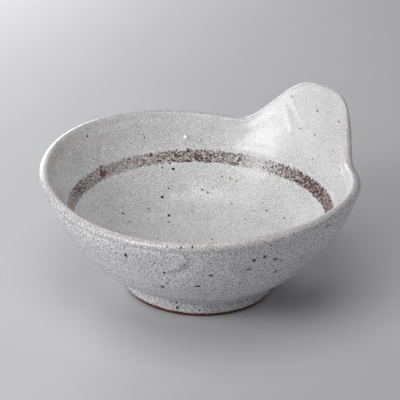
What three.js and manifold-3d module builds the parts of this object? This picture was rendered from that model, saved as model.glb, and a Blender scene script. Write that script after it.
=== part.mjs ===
// A dipping bowl with a tab handle, in thrown stoneware: a round bowl on a foot ring, with a pale
// glaze over everything but the standing edge and an iron stripe round the inside.
// Millimetres, +Z up, the tab towards +X, the foot standing on Z = 0.
import * as THREE from "three";
import Module from "manifold-3d";

// The bowl, measured over the glaze.
const RIM_RADIUS = 66.5;
const RIM_HEIGHT = 51;
const WALL_ARC_RADIUS = 97;
const WALL_THICKNESS = 3.4;
const LIP_THICKNESS = 4.2;
const LIP_SWELL_HEIGHT = 9;
const LIP_FLARE = 0.8;
const LIP_FLARE_HEIGHT = 5;
const WALL_START_BEYOND_FOOT = 6.8;
const WALL_START_ABOVE_FOOT = 2.6;
const FLOOR_THICKNESS = 4.8;
const FLOOR_CURVE_RISE = 8.5;

// The wall is left thicker low down, so that its outer face stands out as a belly.
const BELLY = 1.25;
const BELLY_FULL_FROM = 18;
const BELLY_FULL_TO = 20;
const BELLY_LOSS_AT_STRIPE = 0.38;
const BELLY_ENDS_FROM = 38;

// The rim is cut by hand: it dips towards the tab and opposite it, and is a little three-sided.
const RIM_DIP = 2.8;
const RIM_THREE_LOBE = 1.25;

// The tab, drawn up from the rim.
const TAB_HEIGHT = 21.9;
const TAB_FLAT_HALF_ANGLE = 2.4;
const TAB_FOOT_HALF_ANGLE = 34.6;
const TAB_THINNING = 0.28;

// The foot ring.
const FOOT_HEIGHT = 8;
const FOOT_RADIUS = 31.4;
const FOOT_RING_WIDTH = 5.2;
const FOOT_FILLET = 1.5;
const FOOT_EDGE_CHAMFER = 0.7;

// The coats.
const GLAZE_THICKNESS = 0.5;
const GLAZE_STOPS_ABOVE_TABLE = 1.3;
const BAND_HEIGHT = 34;
const BAND_WIDTH = 5.2;
const BAND_DEPTH = 0.25;

// Clearances between neighbours.
const COAT_GAP = 0.15;
const BAND_GAP = 0.06;
const TAB_JOINT_GAP = 0.3;
const BASE_GLAZE_EDGE_GAP = 0.4;

const TURNS = 60;
const TAB_CROWDING = 0.35;

const DEGREE = Math.PI / 180;
const CLAY_DEPTH = GLAZE_THICKNESS + COAT_GAP;
const UNDERSIDE_HEIGHT = FOOT_HEIGHT - CLAY_DEPTH;
const WALL_START_RADIUS = FOOT_RADIUS + WALL_START_BEYOND_FOOT;
const WALL_START_HEIGHT = FOOT_HEIGHT + WALL_START_ABOVE_FOOT;
const FLOOR_HEIGHT = FOOT_HEIGHT + CLAY_DEPTH + FLOOR_THICKNESS;

// The wall in section is one arc from its start above the foot up to the rim.
const start = new THREE.Vector2(WALL_START_RADIUS, WALL_START_HEIGHT);
const rim = new THREE.Vector2(RIM_RADIUS, RIM_HEIGHT);
const chord = rim.clone().sub(start);
const halfChord = chord.length() / 2;
const arcRise = Math.sqrt(WALL_ARC_RADIUS ** 2 - halfChord ** 2);
const arcCentre = new THREE.Vector2(-chord.y, chord.x)
  .setLength(arcRise)
  .add(start.clone().lerp(rim, 0.5));

// Lean of the wall, as radius gained per unit of height. Above the rim the tab keeps the rim's lean.
function wallLean(height) {
  const z = Math.min(height, RIM_HEIGHT) - arcCentre.y;
  return -z / Math.sqrt(WALL_ARC_RADIUS ** 2 - z * z);
}

// Outer radius of the wall at a height, over the glaze.
function wallRadius(height) {
  const z = Math.min(height, RIM_HEIGHT) - arcCentre.y;
  const onArc = arcCentre.x + Math.sqrt(WALL_ARC_RADIUS ** 2 - z * z);
  return onArc + Math.max(height - RIM_HEIGHT, 0) * wallLean(RIM_HEIGHT);
}

// The lip is a half round that is tangent to both faces of the wall.
const lipTilt = Math.atan(wallLean(RIM_HEIGHT));
const lipRadius = LIP_THICKNESS / 2;
const lipEnd = RIM_HEIGHT - lipRadius * (1 + Math.sin(lipTilt));
const lipCentre = new THREE.Vector2(
  wallRadius(lipEnd) - lipRadius * Math.cos(lipTilt),
  RIM_HEIGHT - lipRadius,
);

function wallThickness(height) {
  const swell = THREE.MathUtils.smoothstep(height, lipEnd - LIP_SWELL_HEIGHT, lipEnd);
  return WALL_THICKNESS + (LIP_THICKNESS - WALL_THICKNESS) * swell;
}

// The outer face of the wall between two heights.
class OuterFace extends THREE.Curve {
  constructor(from, to) {
    super();
    this.from = from;
    this.to = to;
  }
  getPoint(t, target = new THREE.Vector2()) {
    const z = THREE.MathUtils.lerp(this.from, this.to, t);
    return target.set(wallRadius(z), z);
  }
}

// The inner face, the wall's thickness inside the outer face and square to it.
class InnerFace extends OuterFace {
  getPoint(t, target = new THREE.Vector2()) {
    const z = THREE.MathUtils.lerp(this.from, this.to, t);
    const tilt = Math.atan(wallLean(z));
    const thick = wallThickness(z);
    return target.set(
      wallRadius(z) - thick * Math.cos(tilt),
      z + thick * Math.sin(tilt),
    );
  }
}

// Height of the outer face square across the wall from a height on the inner face.
function acrossFrom(innerHeight) {
  let z = innerHeight;
  for (let i = 0; i < 12; i += 1) {
    z = innerHeight - wallThickness(z) * Math.sin(Math.atan(wallLean(z)));
  }
  return z;
}

const bandRise = (BAND_WIDTH / 2) * Math.cos(Math.atan(wallLean(BAND_HEIGHT)));
const bandLow = acrossFrom(BAND_HEIGHT - bandRise);
const bandHigh = acrossFrom(BAND_HEIGHT + bandRise);
const floorEnd = acrossFrom(FLOOR_HEIGHT + FLOOR_CURVE_RISE);

// The section runs from the middle of the floor up the inside, over the lip and down to the foot.
const wallInside = new InnerFace(floorEnd, lipEnd).getPoint(0);
const floorCorner = new THREE.Vector2(
  wallInside.x - FLOOR_CURVE_RISE * wallLean(floorEnd),
  FLOOR_HEIGHT,
);
const floor = new THREE.QuadraticBezierCurve(
  new THREE.Vector2(0, FLOOR_HEIGHT),
  floorCorner,
  wallInside,
);
const innerLow = new InnerFace(floorEnd, bandLow);
const innerBand = new InnerFace(bandLow, bandHigh);
const innerHigh = new InnerFace(bandHigh, lipEnd);
const lip = new THREE.EllipseCurve(
  lipCentre.x,
  lipCentre.y,
  lipRadius,
  lipRadius,
  Math.PI - lipTilt,
  -lipTilt,
  true,
);
const outerHigh = new OuterFace(lipEnd, bandHigh);
const outerLow = new OuterFace(bandHigh, WALL_START_HEIGHT);
const underside = new THREE.QuadraticBezierCurve(
  start,
  new THREE.Vector2(
    WALL_START_RADIUS - (WALL_START_HEIGHT - UNDERSIDE_HEIGHT) * wallLean(WALL_START_HEIGHT),
    UNDERSIDE_HEIGHT,
  ),
  new THREE.Vector2(FOOT_RADIUS + FOOT_FILLET, UNDERSIDE_HEIGHT),
);
const fillet = new THREE.EllipseCurve(
  FOOT_RADIUS + FOOT_FILLET,
  UNDERSIDE_HEIGHT - FOOT_FILLET,
  FOOT_FILLET,
  FOOT_FILLET,
  Math.PI / 2,
  Math.PI,
  false,
);
const footWall = new THREE.LineCurve(
  new THREE.Vector2(FOOT_RADIUS, UNDERSIDE_HEIGHT - FOOT_FILLET),
  new THREE.Vector2(FOOT_RADIUS, GLAZE_STOPS_ABOVE_TABLE),
);

// Points along one curve of the section, moved into the material by a depth.
function sunk(curve, steps, depth) {
  return Array.from({ length: steps + 1 }, (_, i) => {
    const p = curve.getPoint(i / steps);
    const along = curve.getTangent(i / steps);
    return new THREE.Vector2(p.x + depth * along.y, p.y - depth * along.x);
  });
}

// One skin of the section as far as the wall's foot, at a depth; the stripe's groove may lie deeper.
function bowlSkin(depth, grooveDepth = depth) {
  const bandPoints = sunk(innerBand, 2, grooveDepth);
  const rows = [
    ...sunk(floor, 5, depth).slice(1),
    ...sunk(innerLow, 2, depth).slice(1),
    ...(grooveDepth === depth ? bandPoints.slice(1) : bandPoints),
    ...sunk(innerHigh, 6, depth).slice(grooveDepth === depth ? 1 : 0),
    ...sunk(lip, 6, depth).slice(1),
    ...sunk(outerHigh, 6, depth).slice(1),
    ...sunk(outerLow, 6, depth).slice(1),
    ...sunk(underside, 2, depth).slice(1),
  ];
  return [new THREE.Vector2(0, FLOOR_HEIGHT - depth), ...rows];
}

function footSkin(depth) {
  return [
    ...sunk(fillet, 2, depth).slice(1),
    ...sunk(footWall, 1, depth).slice(1),
  ];
}

// The facets lie closer together at the tab than opposite it.
function crowded(turn) {
  return turn - TAB_CROWDING * Math.sin(turn);
}

// How far the hand draws the rim up or down at an angle from the tab.
function rimLift(angle) {
  return -RIM_DIP * Math.cos(2 * angle);
}

// 1 at the crown of the tab, falling to 0 at its two feet.
function tabShare(angle) {
  const off = Math.abs(Math.atan2(Math.sin(angle), Math.cos(angle)));
  const fade = THREE.MathUtils.smootherstep(
    off,
    TAB_FLAT_HALF_ANGLE * DEGREE,
    TAB_FOOT_HALF_ANGLE * DEGREE,
  );
  return 1 - fade;
}

function tabLift(angle) {
  return TAB_HEIGHT * tabShare(angle);
}

// The lip turns out over the last of its height.
function flareShare(height) {
  return THREE.MathUtils.smoothstep(height, RIM_HEIGHT - LIP_FLARE_HEIGHT, RIM_HEIGHT - lipRadius);
}

// How far the belly stands out beyond the arc: most just above the foot, and nothing at the rim.
function bellyAt(height) {
  const grows = THREE.MathUtils.smoothstep(height, WALL_START_HEIGHT, BELLY_FULL_FROM);
  const loss = BELLY_LOSS_AT_STRIPE * THREE.MathUtils.smoothstep(height, BELLY_FULL_TO, BAND_HEIGHT);
  const ends = 1 - THREE.MathUtils.smoothstep(height, BELLY_ENDS_FROM, RIM_HEIGHT);
  return BELLY * grows * (1 - loss) * ends;
}

// 1 in the outer part of the wall and 0 in the inner part, by the depth below the outer face.
function outerShare(depth) {
  return 1 - THREE.MathUtils.smoothstep(depth, 0.35 * WALL_THICKNESS, 0.7 * WALL_THICKNESS);
}

// Turns a closed section about the axis, then draws its upper wall along the line of the wall, from
// nothing at the top of the stripe to the full lift at the rim. The tab is drawn thinner than the
// wall, and its outer face stays in line.
function thrown(section, lift) {
  const geometry = new THREE.LatheGeometry(section, TURNS);
  const position = geometry.getAttribute("position");
  for (let i = 0; i < position.count; i += 1) {
    const across = position.getX(i);
    const along = position.getZ(i);
    const height = position.getY(i);
    const radius = Math.hypot(across, along);
    const angle = crowded(Math.atan2(across, along));
    const share = THREE.MathUtils.smoothstep(height, bandHigh + CLAY_DEPTH + 2, RIM_HEIGHT);
    const depth = wallRadius(height) - radius;
    const inwards = depth * (1 - TAB_THINNING * share * tabShare(angle));
    const drawn = height + share * lift(angle);
    const pushed = wallRadius(drawn) - inwards;
    const lobed = share > 0 ? pushed + share * RIM_THREE_LOBE * Math.cos(3 * angle) : radius;
    const flared = lobed + LIP_FLARE * flareShare(height) + bellyAt(height) * outerShare(depth);
    position.setXYZ(i, flared * Math.cos(angle), flared * Math.sin(angle), drawn);
  }
  return geometry;
}

const fullLift = (angle) => rimLift(angle) + tabLift(angle);

// The clay: inside, lip and tab, outside, and a flat base that the foot ring is luted to.
const claySection = [new THREE.Vector2(0, FOOT_HEIGHT), ...bowlSkin(CLAY_DEPTH).reverse()];
const clayGeometry = thrown(claySection, fullLift);

// A block with the plain rim line, without the tab, as its top.
function underRimLine(raise) {
  const wide = 2 * RIM_RADIUS;
  const geometry = new THREE.LatheGeometry(
    [
      new THREE.Vector2(0, -FOOT_HEIGHT),
      new THREE.Vector2(wide, -FOOT_HEIGHT),
      new THREE.Vector2(wide, RIM_HEIGHT),
      new THREE.Vector2(WALL_START_RADIUS, RIM_HEIGHT),
      new THREE.Vector2(0, RIM_HEIGHT),
    ],
    TURNS,
  );
  const position = geometry.getAttribute("position");
  for (let i = 0; i < position.count; i += 1) {
    const across = position.getX(i);
    const along = position.getZ(i);
    const height = position.getY(i);
    const radius = Math.hypot(across, along);
    const angle = crowded(Math.atan2(across, along));
    const lift = radius > WALL_START_RADIUS / 2 ? rimLift(angle) : 0;
    const level = height > 0 ? height + lift + raise : height;
    position.setXYZ(i, radius * Math.cos(angle), radius * Math.sin(angle), level);
  }
  return geometry;
}

// The tab is luted to the bowl along the plain rim line.
const wasm = await Module();
wasm.setup();

function solidOf(geometry) {
  const corners = new Map();
  const xyz = [];
  const position = geometry.getAttribute("position");
  const place = (i) => {
    const at = [position.getX(i), position.getY(i), position.getZ(i)];
    const key = at.map((v) => Math.round(v * 2000)).join();
    if (!corners.has(key)) {
      corners.set(key, corners.size);
      xyz.push(...at);
    }
    return corners.get(key);
  };
  const faces = [];
  const index = geometry.getIndex();
  for (let i = 0; i < index.count; i += 3) {
    const face = [0, 1, 2].map((k) => place(index.getX(i + k)));
    if (new Set(face).size === 3) {
      faces.push(...face);
    }
  }
  return new wasm.Manifold(
    new wasm.Mesh({
      numProp: 3,
      vertProperties: new Float32Array(xyz),
      triVerts: new Uint32Array(faces),
    }),
  );
}

function geometryOf(solid) {
  const mesh = solid.getMesh();
  const geometry = new THREE.BufferGeometry();
  geometry.setAttribute("position", new THREE.BufferAttribute(mesh.vertProperties, 3));
  geometry.setIndex(new THREE.BufferAttribute(mesh.triVerts, 1));
  geometry.computeVertexNormals();
  return geometry;
}

const clay = solidOf(clayGeometry);
const largest = (solid) => solid.decompose().reduce((a, b) => (a.volume() > b.volume() ? a : b));
const bowlGeometry = geometryOf(largest(clay.intersect(solidOf(underRimLine(0)))));
const tabGeometry = geometryOf(largest(clay.subtract(solidOf(underRimLine(TAB_JOINT_GAP)))));

// The glaze: one coat from the middle of the floor over the lip and tab to just above the table.
const glazeGeometry = thrown(
  [
    ...bowlSkin(GLAZE_THICKNESS),
    ...footSkin(GLAZE_THICKNESS),
    ...[...bowlSkin(0, BAND_DEPTH + BAND_GAP), ...footSkin(0)].reverse(),
  ],
  fullLift,
);

// The iron stripe lies in the glaze, flush with it.
const stripeLow = THREE.MathUtils.lerp(bandLow, bandHigh, BAND_GAP / BAND_WIDTH);
const stripeHigh = THREE.MathUtils.lerp(bandHigh, bandLow, BAND_GAP / BAND_WIDTH);
const stripe = new InnerFace(stripeLow, stripeHigh);
const stripeFace = sunk(stripe, 2, 0);
const stripeGeometry = thrown(
  [...sunk(stripe, 2, BAND_DEPTH), ...stripeFace.reverse(), sunk(stripe, 2, BAND_DEPTH)[0]],
  () => 0,
);

// The foot ring, with a fillet up to the bowl and the two edges of its standing face eased.
const clayFoot = FOOT_RADIUS - CLAY_DEPTH;
const ringInside = clayFoot - FOOT_RING_WIDTH;
const ringGeometry = thrown(
  [
    new THREE.Vector2(ringInside, FOOT_HEIGHT),
    new THREE.Vector2(ringInside, FOOT_EDGE_CHAMFER),
    new THREE.Vector2(ringInside + FOOT_EDGE_CHAMFER, 0),
    new THREE.Vector2(clayFoot - FOOT_EDGE_CHAMFER, 0),
    new THREE.Vector2(clayFoot, FOOT_EDGE_CHAMFER),
    ...sunk(fillet, 2, CLAY_DEPTH).reverse(),
    new THREE.Vector2(ringInside, FOOT_HEIGHT),
  ],
  () => 0,
);

// The glaze under the base, inside the foot ring.
const baseGlazeTop = FOOT_HEIGHT - COAT_GAP;
const baseGlazeGeometry = thrown(
  [
    new THREE.Vector2(0, baseGlazeTop - GLAZE_THICKNESS),
    new THREE.Vector2(ringInside - BASE_GLAZE_EDGE_GAP, baseGlazeTop - GLAZE_THICKNESS),
    new THREE.Vector2(ringInside - BASE_GLAZE_EDGE_GAP, baseGlazeTop),
    new THREE.Vector2(0, baseGlazeTop),
  ],
  () => 0,
);

const group = new THREE.Group();
group.name = "dipping_bowl";

function add(name, geometry, color, roughness) {
  const material = new THREE.MeshStandardMaterial({ color, roughness, metalness: 0 });
  const mesh = new THREE.Mesh(geometry, material);
  mesh.name = name;
  group.add(mesh);
}

add("bowl_body", bowlGeometry, 0x9c6f56, 0.9);
add("tab_handle", tabGeometry, 0x9c6f56, 0.9);
add("foot_ring", ringGeometry, 0x8a5640, 0.9);
add("glaze_coat", glazeGeometry, 0xc4c4c3, 0.3);
add("base_glaze", baseGlazeGeometry, 0xbdbbb8, 0.35);
add("iron_band", stripeGeometry, 0x3b2a24, 0.5);

// The middle of the whole piece, tab included, is put over the origin.
const middle = new THREE.Box3().setFromObject(group).getCenter(new THREE.Vector3());
group.children.forEach((mesh) => mesh.geometry.translate(-middle.x, -middle.y, 0));

export default group;
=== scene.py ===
# %% [markdown]
# # A hot pot dipping bowl
# The bowl is thrown stoneware: a round wall on a foot ring, with one side of the rim drawn up into a
# tab for the fingers. A pale glaze covers it down to the foot, and a stripe of iron was brushed round
# the inside before the firing. The solids of that bowl are already packed, so this lesson only gives
# them the surface that hands, brush and kiln left. It starts by loading them as a fixed frame.

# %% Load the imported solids
import math

import bpy
import numpy as np
from mathutils import Matrix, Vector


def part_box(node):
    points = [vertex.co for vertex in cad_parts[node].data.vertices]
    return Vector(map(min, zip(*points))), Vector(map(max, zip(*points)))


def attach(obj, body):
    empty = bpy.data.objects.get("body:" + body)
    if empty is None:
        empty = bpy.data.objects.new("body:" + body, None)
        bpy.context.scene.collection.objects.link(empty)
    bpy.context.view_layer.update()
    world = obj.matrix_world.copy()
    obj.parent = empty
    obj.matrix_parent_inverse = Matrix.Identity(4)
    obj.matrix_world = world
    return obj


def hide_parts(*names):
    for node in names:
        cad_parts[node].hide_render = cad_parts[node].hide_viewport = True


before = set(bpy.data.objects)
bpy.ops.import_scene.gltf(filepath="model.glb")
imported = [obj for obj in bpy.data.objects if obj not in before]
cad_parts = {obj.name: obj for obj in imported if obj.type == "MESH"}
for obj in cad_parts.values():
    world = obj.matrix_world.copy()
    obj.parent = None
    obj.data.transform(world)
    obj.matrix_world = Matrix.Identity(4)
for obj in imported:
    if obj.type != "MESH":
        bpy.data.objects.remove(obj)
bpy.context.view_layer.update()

MM = 0.001
ring_low, ring_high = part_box("foot_ring")
AXIS_X = (ring_low.x + ring_high.x) / 2 / MM
print("solids:", sorted(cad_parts), "axis at x =", round(AXIS_X, 2), "mm")

# %% [markdown]
# ## The camera
# The bowl is seen from above, a little to one side of the tab, with a long lens, so that the rim stays
# an even ellipse. The camera could be placed by eye, but its frame is easier to trust when it is built
# from four plain facts: how far it turns round the bowl, how far it tips down, how far it stands off,
# and how many pixels of the picture one millimetre takes. A long lens is then a result, not a guess.

# %% Place the camera
IMAGE_SIDE = 400
PIXELS_PER_MM = 2.389
CAMERA_DISTANCE = 900.0
CAMERA_TURN = math.radians(44.185)
CAMERA_TIP = math.radians(26.061)
CAMERA_ROLL = math.radians(1.598)
LOOKED_AT = np.array([AXIS_X, 0.0, 30.0])
LOOKED_AT_FROM_MIDDLE = np.array([0.466, 18.341]) / PIXELS_PER_MM
SENSOR = 36.0
UPRIGHT = np.array([0.0, 0.0, 1.0])
SIDEWAYS = np.array([math.cos(CAMERA_TURN), -math.sin(CAMERA_TURN), 0.0])
INWARDS = np.array([math.sin(CAMERA_TURN), math.cos(CAMERA_TURN), 0.0])


def unit(vector):
    """A vector divided by its own length."""
    return vector / np.linalg.norm(vector)


def stand(name, data, right, away, place):
    """Adds a camera or a light at a place: its x axis along right, its z axis away from what it faces."""
    axes = np.eye(4)
    axes[:3] = np.stack([right, np.cross(away, right), away, place], -1)
    thing = bpy.data.objects.new(name, data)
    bpy.context.scene.collection.objects.link(thing)
    thing.matrix_world = Matrix(axes.tolist())
    return thing


def place_camera():
    """A camera turned, tipped and rolled, then aimed so that the bowl sits off the picture's middle."""
    ahead = INWARDS * math.cos(CAMERA_TIP) - UPRIGHT * math.sin(CAMERA_TIP)
    above = INWARDS * math.sin(CAMERA_TIP) + UPRIGHT * math.cos(CAMERA_TIP)
    right = math.cos(CAMERA_ROLL) * SIDEWAYS + math.sin(CAMERA_ROLL) * above
    up = math.cos(CAMERA_ROLL) * above - math.sin(CAMERA_ROLL) * SIDEWAYS
    off_right, off_up = LOOKED_AT_FROM_MIDDLE
    sight = unit(ahead * CAMERA_DISTANCE + up * off_up - right * off_right)
    right = unit(right - sight * (right @ sight))
    place = (LOOKED_AT - ahead * CAMERA_DISTANCE) * MM
    camera = stand("camera", bpy.data.cameras.new("camera"), right, -sight, place)
    camera.data.sensor_width = SENSOR
    camera.data.lens = SENSOR * PIXELS_PER_MM * CAMERA_DISTANCE / IMAGE_SIDE
    bpy.context.scene.camera = camera
    return camera


camera = place_camera()
print("lens", round(camera.data.lens, 1), "mm, camera at", [round(v, 3) for v in camera.location])

# %% [markdown]
# ## The section of the wall
# On the wheel the whole bowl is one curve turned about an axis. The outside of the wall is an arc of a
# circle from above the foot to the rim, the inside lies one wall's thickness behind it, and the lip is
# a half round between the two. Each part is written as a formula over arrays, because the same curve
# is needed again for the stripe and the specks. All lengths are in millimetres, over the glaze.

# %% Sizes and the wall's arc
RIM_RADIUS = 66.5
RIM_HEIGHT = 51.0
WALL_ARC_RADIUS = 97.0
WALL_THICKNESS = 3.4
LIP_THICKNESS = 4.2
LIP_SWELL_HEIGHT = 9.0
LIP_FLARE = 0.8
LIP_FLARE_HEIGHT = 5.0
FOOT_RADIUS = 31.4
FOOT_HEIGHT = 8.0
FOOT_FILLET = 1.5
CLAY_DEPTH = 0.65
UNDERSIDE_REACH = 6.8
UNDERSIDE_RISE = 2.6
FLOOR_THICKNESS = 4.8
FLOOR_CURVE_RISE = 8.5
WALL_START = np.array([FOOT_RADIUS + UNDERSIDE_REACH, FOOT_HEIGHT + UNDERSIDE_RISE])
FLOOR_HEIGHT = FOOT_HEIGHT + CLAY_DEPTH + FLOOR_THICKNESS
UNDERSIDE = FOOT_HEIGHT - CLAY_DEPTH

chord = np.array([RIM_RADIUS, RIM_HEIGHT]) - WALL_START
half_chord = np.linalg.norm(chord) / 2
arc_rise = math.sqrt(WALL_ARC_RADIUS**2 - half_chord**2)
ARC_CENTRE = WALL_START + chord / 2 + arc_rise * unit(np.array([-chord[1], chord[0]]))


def eased(x, low, high):
    """Rises from 0 at low to 1 at high as t*t*(3 - 2t), t being the share of the way."""
    t = np.clip((x - low) / (high - low), 0, 1)
    return t * t * (3 - 2 * t)


def wall_lean(height):
    """Radius gained for each unit of height: the arc's drop below its centre over its reach."""
    drop = ARC_CENTRE[1] - np.minimum(height, RIM_HEIGHT)
    return drop / np.sqrt(WALL_ARC_RADIUS**2 - drop**2)


def wall_radius(height):
    """Outer radius: the arc up to the rim's height, then straight on with the rim's lean."""
    drop = ARC_CENTRE[1] - np.minimum(height, RIM_HEIGHT)
    on_arc = ARC_CENTRE[0] + np.sqrt(WALL_ARC_RADIUS**2 - drop**2)
    return on_arc + np.maximum(height - RIM_HEIGHT, 0) * wall_lean(RIM_HEIGHT)


print("arc centre", ARC_CENTRE.round(2), "lean at the rim", round(float(wall_lean(RIM_HEIGHT)), 3))

# %% The inside of the wall
LIP_TILT = math.atan(wall_lean(RIM_HEIGHT))
LIP_RADIUS = LIP_THICKNESS / 2
LIP_END = RIM_HEIGHT - LIP_RADIUS * (1 + math.sin(LIP_TILT))
ACROSS_STEPS = 12


def wall_thickness(height):
    """The plain wall, swelling to the lip's thickness over the last of its height."""
    swell = eased(height, LIP_END - LIP_SWELL_HEIGHT, LIP_END)
    return WALL_THICKNESS + (LIP_THICKNESS - WALL_THICKNESS) * swell


def inner_face(height):
    """Point (radius, height) one thickness inside the outer face, square to it."""
    tilt = np.arctan(wall_lean(height))
    thick = wall_thickness(height)
    return np.stack([wall_radius(height) - thick * np.cos(tilt), height + thick * np.sin(tilt)], -1)


def across_from(inner_height):
    """Height on the outer face that lies square across from one on the inner face, by repeated steps."""
    height = inner_height
    for _ in range(ACROSS_STEPS):
        height = inner_height - wall_thickness(height) * np.sin(np.arctan(wall_lean(height)))
    return height


BAND_HEIGHT = 34.0
BAND_WIDTH = 5.2
DRAW_ABOVE_BAND = 2.0
band_rise = BAND_WIDTH / 2 * math.cos(math.atan(wall_lean(BAND_HEIGHT)))
DRAW_FROM = across_from(BAND_HEIGHT + band_rise) + CLAY_DEPTH + DRAW_ABOVE_BAND
FLOOR_END = across_from(FLOOR_HEIGHT + FLOOR_CURVE_RISE)
print("the floor's curve meets the wall at height", round(float(FLOOR_END), 2), "mm on the outside")

# %% [markdown]
# ## From section to skin
# The rows of the skin follow the section from the middle of the floor, up the inside, over the lip and
# down to the foot. They lie closest where the surface turns most. Every row also knows whether it is
# on the inside or the outside, since the marks of the hand differ between the two.

# %% Rows of the skin
LIP_STEPS = 14
GLAZE_STOPS = 1.3
GLAZE_WIPED = 0.4
GLAZE_EDGE_RADIUS = 0.25
GLAZE_EDGE_ROLL = 0.75 * math.pi


def bend(start, corner, end, steps):
    """Points of a quadratic curve: start and end weighted by squares, the corner by twice the product."""
    t = np.linspace(0, 1, steps + 1)[:, None]
    return (1 - t) ** 2 * start + 2 * t * (1 - t) * corner + t**2 * end


def round_part(centre, radius, turn_from, turn_to, steps):
    """Points on a circle between two angles."""
    turn = np.linspace(turn_from, turn_to, steps + 1)
    return np.stack([centre[0] + radius * np.cos(turn), centre[1] + radius * np.sin(turn)], -1)


def outer_face(height):
    """Points (radius, height) of the outer face."""
    return np.stack([wall_radius(height), height], -1)


def section_rows():
    """The section over the glaze as (radius, height) rows, and each row's side from -1 in to 1 out."""
    wall_inside = inner_face(np.array(FLOOR_END))
    floor_corner = np.array([wall_inside[0] - FLOOR_CURVE_RISE * wall_lean(FLOOR_END), FLOOR_HEIGHT])
    draw_across = across_from(DRAW_FROM)
    lip_centre = np.array([wall_radius(LIP_END) - LIP_RADIUS * math.cos(LIP_TILT), RIM_HEIGHT - LIP_RADIUS])
    under_corner = WALL_START - (WALL_START[1] - UNDERSIDE) * np.array([wall_lean(WALL_START[1]), 1])
    fillet_centre = np.array([FOOT_RADIUS + FOOT_FILLET, UNDERSIDE - FOOT_FILLET])
    fillet_top = fillet_centre + [0, FOOT_FILLET]
    edge_height = GLAZE_STOPS + GLAZE_WIPED + GLAZE_EDGE_RADIUS
    edge_centre = np.array([FOOT_RADIUS - GLAZE_EDGE_RADIUS, edge_height])
    foot_heights = np.linspace(UNDERSIDE - FOOT_FILLET, edge_height, 6)
    parts = [
        bend(np.array([0, FLOOR_HEIGHT]), floor_corner, wall_inside, 40),
        inner_face(np.linspace(FLOOR_END, draw_across, 19))[1:],
        inner_face(np.linspace(draw_across, LIP_END, 57))[1:],
        round_part(lip_centre, LIP_RADIUS, math.pi - LIP_TILT, -LIP_TILT, LIP_STEPS)[1:],
        outer_face(np.linspace(LIP_END, DRAW_FROM, 37))[1:],
        outer_face(np.linspace(DRAW_FROM, WALL_START[1], 35))[1:],
        bend(WALL_START, under_corner, fillet_top, 8)[1:],
        round_part(fillet_centre, FOOT_FILLET, math.pi / 2, math.pi, 5)[1:],
        np.stack([np.full_like(foot_heights, FOOT_RADIUS), foot_heights], -1)[1:],
        round_part(edge_centre, GLAZE_EDGE_RADIUS, 0, -GLAZE_EDGE_ROLL, 4)[1:],
    ]
    sides = [-1, -1, -1, None, 1, 1, 1, 1, 1, 1]
    lip_sides = np.linspace(-1, 1, LIP_STEPS + 1)[1:]
    side = [lip_sides if s is None else np.full(len(p), s) for p, s in zip(parts, sides)]
    return np.concatenate(parts), np.concatenate(side)


rows, row_side = section_rows()
print("section has", len(rows), "rows")

# %% [markdown]
# ## Drawing the rim and the tab
# The rim was cut and pulled by hand. It dips a little towards the tab and opposite it, it is faintly
# three-sided, and the tab is the same wall drawn up much further. So the turned skin is moved along
# the line of the wall, from nothing above the stripe to the full lift at the lip. The wall was left
# thicker low down, as a belly, and one hand left that a millimetre fuller on one side. Sculpting would
# give a like shape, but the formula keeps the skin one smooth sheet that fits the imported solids.

# %% Lift of the rim
RIM_DIP = 2.8
RIM_THREE_LOBE = 1.25
TAB_HEIGHT = 21.9
TAB_FLAT_HALF_ANGLE = 2.4
TAB_FOOT_HALF_ANGLE = 34.6


def off_tab(angle):
    """Angle from the tab, wrapped to between -180 and 180 degrees."""
    return (angle + 180) % 360 - 180


def bell(angle, middle, reach):
    """1 at an angle round the bowl, fading as exp(-(degrees off it / reach) squared)."""
    return np.exp(-((off_tab(angle - middle) / reach) ** 2))


def tab_share(angle):
    """1 on the tab's crown and 0 past its feet: one minus t*t*t*(t*(6t - 15) + 10)."""
    reach = np.abs(off_tab(angle)) - TAB_FLAT_HALF_ANGLE
    t = np.clip(reach / (TAB_FOOT_HALF_ANGLE - TAB_FLAT_HALF_ANGLE), 0, 1)
    return 1 - t**3 * (t * (6 * t - 15) + 10)


def rim_lift(angle):
    """How far the rim is drawn up the wall: the tab's height times its share, less a dip as a cosine that
    goes round twice."""
    return TAB_HEIGHT * tab_share(angle) - RIM_DIP * np.cos(2 * np.radians(angle))


lift_on_tab, lift_beside = rim_lift(np.array([0.0, 90.0])).round(2)
print("the rim is lifted", lift_on_tab, "mm on the tab and", lift_beside, "mm beside it")

# %% Belly and lip
BELLY = 1.25
BELLY_FULL_FROM = 16.5
BELLY_FULL_TO = 20.0
BELLY_LOSS_AT_STRIPE = 0.38
BELLY_ENDS_FROM = 38.0
BELLY_SIDE = 136.0
BELLY_EVEN = 1.36
BELLY_UNEVEN = 0.5
RIM_FULLER = ((136.0, 24.0, 0.6), (-50.0, 15.0, 0.9))
RIM_FULL_BELOW = 1.0


def belly(height, angle):
    """How far the outer face stands out beyond the arc: eased in above the foot, less at the stripe, eased
    out below the lip, and times a cosine round the bowl that is most on the side left of the tab."""
    grows = eased(height, WALL_START[1], BELLY_FULL_FROM)
    loss = BELLY_LOSS_AT_STRIPE * eased(height, BELLY_FULL_TO, BAND_HEIGHT)
    ends = 1 - eased(height, BELLY_ENDS_FROM, RIM_HEIGHT - LIP_RADIUS)
    uneven = BELLY_EVEN + BELLY_UNEVEN * np.cos(np.radians(angle - BELLY_SIDE))
    return BELLY * grows * (1 - loss) * ends * uneven


def fuller_rim(height, angle, depth):
    """How far the lip is pulled out on two sides, as bells given by (angle, reach in degrees, mm): all of
    it on the outer face and none on the inner face."""
    out = sum(most * bell(angle, middle, reach) for middle, reach, most in RIM_FULLER)
    up = eased(height, BELLY_ENDS_FROM, RIM_HEIGHT - RIM_FULL_BELOW)
    return out * up * (1 - eased(depth, 0, LIP_THICKNESS))


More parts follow.
